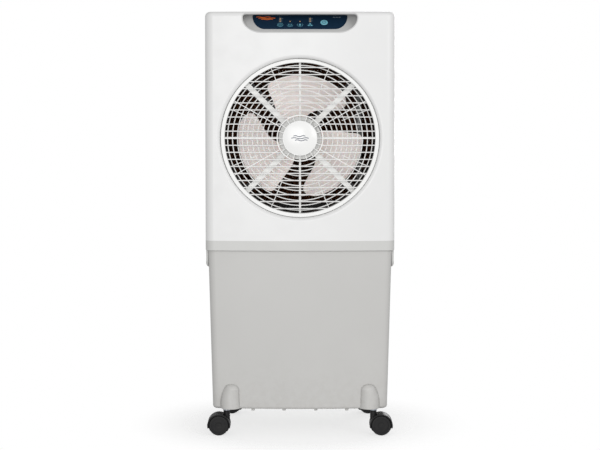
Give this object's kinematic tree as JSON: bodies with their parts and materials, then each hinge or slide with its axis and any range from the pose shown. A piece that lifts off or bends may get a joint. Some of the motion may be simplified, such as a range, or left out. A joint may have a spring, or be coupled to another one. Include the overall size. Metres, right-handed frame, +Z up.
{
  "type": "evaporative cooler",
  "caption": "Tall upright air cooler with a round louvred fan outlet above a tapered water tank on castors, with a sloped key panel and a removable rear intake grille.",
  "frame": {"origin": "on the floor under the middle of the cooler", "axes": "+Z up, -Y the way the fan blows, +X to the right of a person who faces the outlet"},
  "size_m": [0.46, 0.38, 1.033],
  "materials": {
    "white_shell": "satin",
    "collar_grey": "satin",
    "tank_grey": "satin",
    "bezel_grey": "satin",
    "grille_grey": "satin",
    "blade_pink": "satin",
    "intake_grey": "satin",
    "black_plastic": "matte",
    "castor_black": "satin",
    "navy_overlay": "gloss",
    "key_blue": "gloss",
    "power_blue": "gloss",
    "light_amber": "gloss",
    "board_green": "satin",
    "pad_brown": "matte",
    "filter_mesh": "matte",
    "hose_clear": "satin",
    "rubber_plug": "matte",
    "float_orange": "satin",
    "rod_white": "satin",
    "motor_metal": "satin",
    "bracket_steel": "satin",
    "bright_steel": "satin"
  },
  "bodies": {
    "cooler": {"front_panel": "white_shell", "top_cover": "white_shell", "left_side_panel": "white_shell", "right_side_panel": "white_shell", "rear_panel": "white_shell", "deck": "collar_grey", "water_tank": "tank_grey", "control_bezel": "bezel_grey", "guard_grille": "grille_grey", "air_duct": "black_plastic", "pad_frame": "black_plastic", "control_box": "black_plastic", "cord_gland": "black_plastic", "water_pump": "black_plastic", "pump_strainer": "black_plastic", "water_distributor": "black_plastic", "louvre_motor": "black_plastic", "control_overlay": "navy_overlay", "indicator_lights": "light_amber", "control_board": "board_green", "cooling_pad": "pad_brown", "supply_hose": "hose_clear", "float_rod": "rod_white", "fan_motor": "motor_metal", "motor_bracket": "bracket_steel", "castor_stems": "bright_steel", "duct_screws": "bright_steel", "fill_door_pin": "bright_steel"},
    "louvre_wheel": {"louvre_wheel": "grille_grey", "hub_cap": "white_shell", "louvre_shaft": "bright_steel"},
    "fan": {"fan_blades": "blade_pink", "fan_shaft": "bright_steel", "blade_nut": "blade_pink"},
    "fill_door": {"fill_door": "tank_grey"},
    "drain_plug": {"drain_plug": "rubber_plug"},
    "tank_float": {"tank_float": "float_orange"},
    "intake_grille": {"intake_grille": "intake_grey", "dust_filter": "filter_mesh"},
    "speed_key": {"speed_key": "key_blue"},
    "swing_key": {"swing_key": "key_blue"},
    "cool_key": {"cool_key": "key_blue"},
    "timer_key": {"timer_key": "key_blue"},
    "power_key": {"power_key": "power_blue"},
    "front_left_castor": {"front_left_castor_hood": "castor_black", "front_left_castor_axle": "bright_steel"},
    "front_left_wheel_a": {"front_left_castor_wheel_a": "castor_black"},
    "front_left_wheel_b": {"front_left_castor_wheel_b": "castor_black"},
    "front_right_castor": {"front_right_castor_hood": "castor_black", "front_right_castor_axle": "bright_steel"},
    "front_right_wheel_a": {"front_right_castor_wheel_a": "castor_black"},
    "front_right_wheel_b": {"front_right_castor_wheel_b": "castor_black"},
    "rear_left_castor": {"rear_left_castor_hood": "castor_black", "rear_left_castor_axle": "bright_steel"},
    "rear_left_wheel_a": {"rear_left_castor_wheel_a": "castor_black"},
    "rear_left_wheel_b": {"rear_left_castor_wheel_b": "castor_black"},
    "rear_right_castor": {"rear_right_castor_hood": "castor_black", "rear_right_castor_axle": "bright_steel"},
    "rear_right_wheel_a": {"rear_right_castor_wheel_a": "castor_black"},
    "rear_right_wheel_b": {"rear_right_castor_wheel_b": "castor_black"}
  },
  "joints": [
    {"name": "louvre_wheel_spin", "type": "hinge", "parent": "cooler", "child": "louvre_wheel", "pos_m": [0, -0.171, 0.728], "axis": [0, -1, 0], "continuous": true},
    {"name": "fan_spin", "type": "hinge", "parent": "cooler", "child": "fan", "pos_m": [0, -0.1, 0.728], "axis": [0, -1, 0], "continuous": true},
    {"name": "fill_door_hinge", "type": "hinge", "parent": "cooler", "child": "fill_door", "pos_m": [-0.09, 0.1806, 0.3714], "axis": [-1, 0, 0], "range_deg": [0, 95]},
    {"name": "drain_plug_pull", "type": "slide", "parent": "cooler", "child": "drain_plug", "axis": [0, 1, 0], "range_m": [0, 0.025]},
    {"name": "float_rise", "type": "slide", "parent": "cooler", "child": "tank_float", "axis": [0, 0, 1], "range_m": [0, 0.03]},
    {"name": "intake_grille_pull", "type": "slide", "parent": "cooler", "child": "intake_grille", "axis": [0, 1, 0], "range_m": [0, 0.06]},
    {"name": "speed_key_press", "type": "slide", "parent": "cooler", "child": "speed_key", "axis": [0, 0.6691, -0.7431], "range_m": [0, 0.0008], "stiffness_N_per_m": 400, "springref_m": -0.002},
    {"name": "swing_key_press", "type": "slide", "parent": "cooler", "child": "swing_key", "axis": [0, 0.6691, -0.7431], "range_m": [0, 0.0008], "stiffness_N_per_m": 400, "springref_m": -0.002},
    {"name": "cool_key_press", "type": "slide", "parent": "cooler", "child": "cool_key", "axis": [0, 0.6691, -0.7431], "range_m": [0, 0.0008], "stiffness_N_per_m": 400, "springref_m": -0.002},
    {"name": "timer_key_press", "type": "slide", "parent": "cooler", "child": "timer_key", "axis": [0, 0.6691, -0.7431], "range_m": [0, 0.0008], "stiffness_N_per_m": 400, "springref_m": -0.002},
    {"name": "power_key_press", "type": "slide", "parent": "cooler", "child": "power_key", "axis": [0, 0.6691, -0.7431], "range_m": [0, 0.0008], "stiffness_N_per_m": 400, "springref_m": -0.002},
    {"name": "front_left_castor_swivel", "type": "hinge", "parent": "cooler", "child": "front_left_castor", "pos_m": [-0.18, -0.151, 0.055], "axis": [0, 0, 1], "continuous": true},
    {"name": "front_left_wheel_a_spin", "type": "hinge", "parent": "front_left_castor", "child": "front_left_wheel_a", "pos_m": [-0.199, -0.151, 0.024], "axis": [0, -1, 0], "continuous": true},
    {"name": "front_left_wheel_b_spin", "type": "hinge", "parent": "front_left_castor", "child": "front_left_wheel_b", "pos_m": [-0.199, -0.151, 0.024], "axis": [0, -1, 0], "continuous": true},
    {"name": "front_right_castor_swivel", "type": "hinge", "parent": "cooler", "child": "front_right_castor", "pos_m": [0.18, -0.151, 0.055], "axis": [0, 0, 1], "continuous": true},
    {"name": "front_right_wheel_a_spin", "type": "hinge", "parent": "front_right_castor", "child": "front_right_wheel_a", "pos_m": [0.199, -0.151, 0.024], "axis": [0, 1, 0], "continuous": true},
    {"name": "front_right_wheel_b_spin", "type": "hinge", "parent": "front_right_castor", "child": "front_right_wheel_b", "pos_m": [0.199, -0.151, 0.024], "axis": [0, 1, 0], "continuous": true},
    {"name": "rear_left_castor_swivel", "type": "hinge", "parent": "cooler", "child": "rear_left_castor", "pos_m": [-0.156, 0.136, 0.055], "axis": [0, 0, 1], "continuous": true},
    {"name": "rear_left_wheel_a_spin", "type": "hinge", "parent": "rear_left_castor", "child": "rear_left_wheel_a", "pos_m": [-0.17458, 0.13995, 0.024], "axis": [-0.2079, -0.9781, 0], "continuous": true},
    {"name": "rear_left_wheel_b_spin", "type": "hinge", "parent": "rear_left_castor", "child": "rear_left_wheel_b", "pos_m": [-0.17458, 0.13995, 0.024], "axis": [-0.2079, -0.9781, 0], "continuous": true},
    {"name": "rear_right_castor_swivel", "type": "hinge", "parent": "cooler", "child": "rear_right_castor", "pos_m": [0.156, 0.136, 0.055], "axis": [0, 0, 1], "continuous": true},
    {"name": "rear_right_wheel_a_spin", "type": "hinge", "parent": "rear_right_castor", "child": "rear_right_wheel_a", "pos_m": [0.17458, 0.13995, 0.024], "axis": [-0.2079, 0.9781, 0], "continuous": true},
    {"name": "rear_right_wheel_b_spin", "type": "hinge", "parent": "rear_right_castor", "child": "rear_right_wheel_b", "pos_m": [0.17458, 0.13995, 0.024], "axis": [-0.2079, 0.9781, 0], "continuous": true}
  ]
}
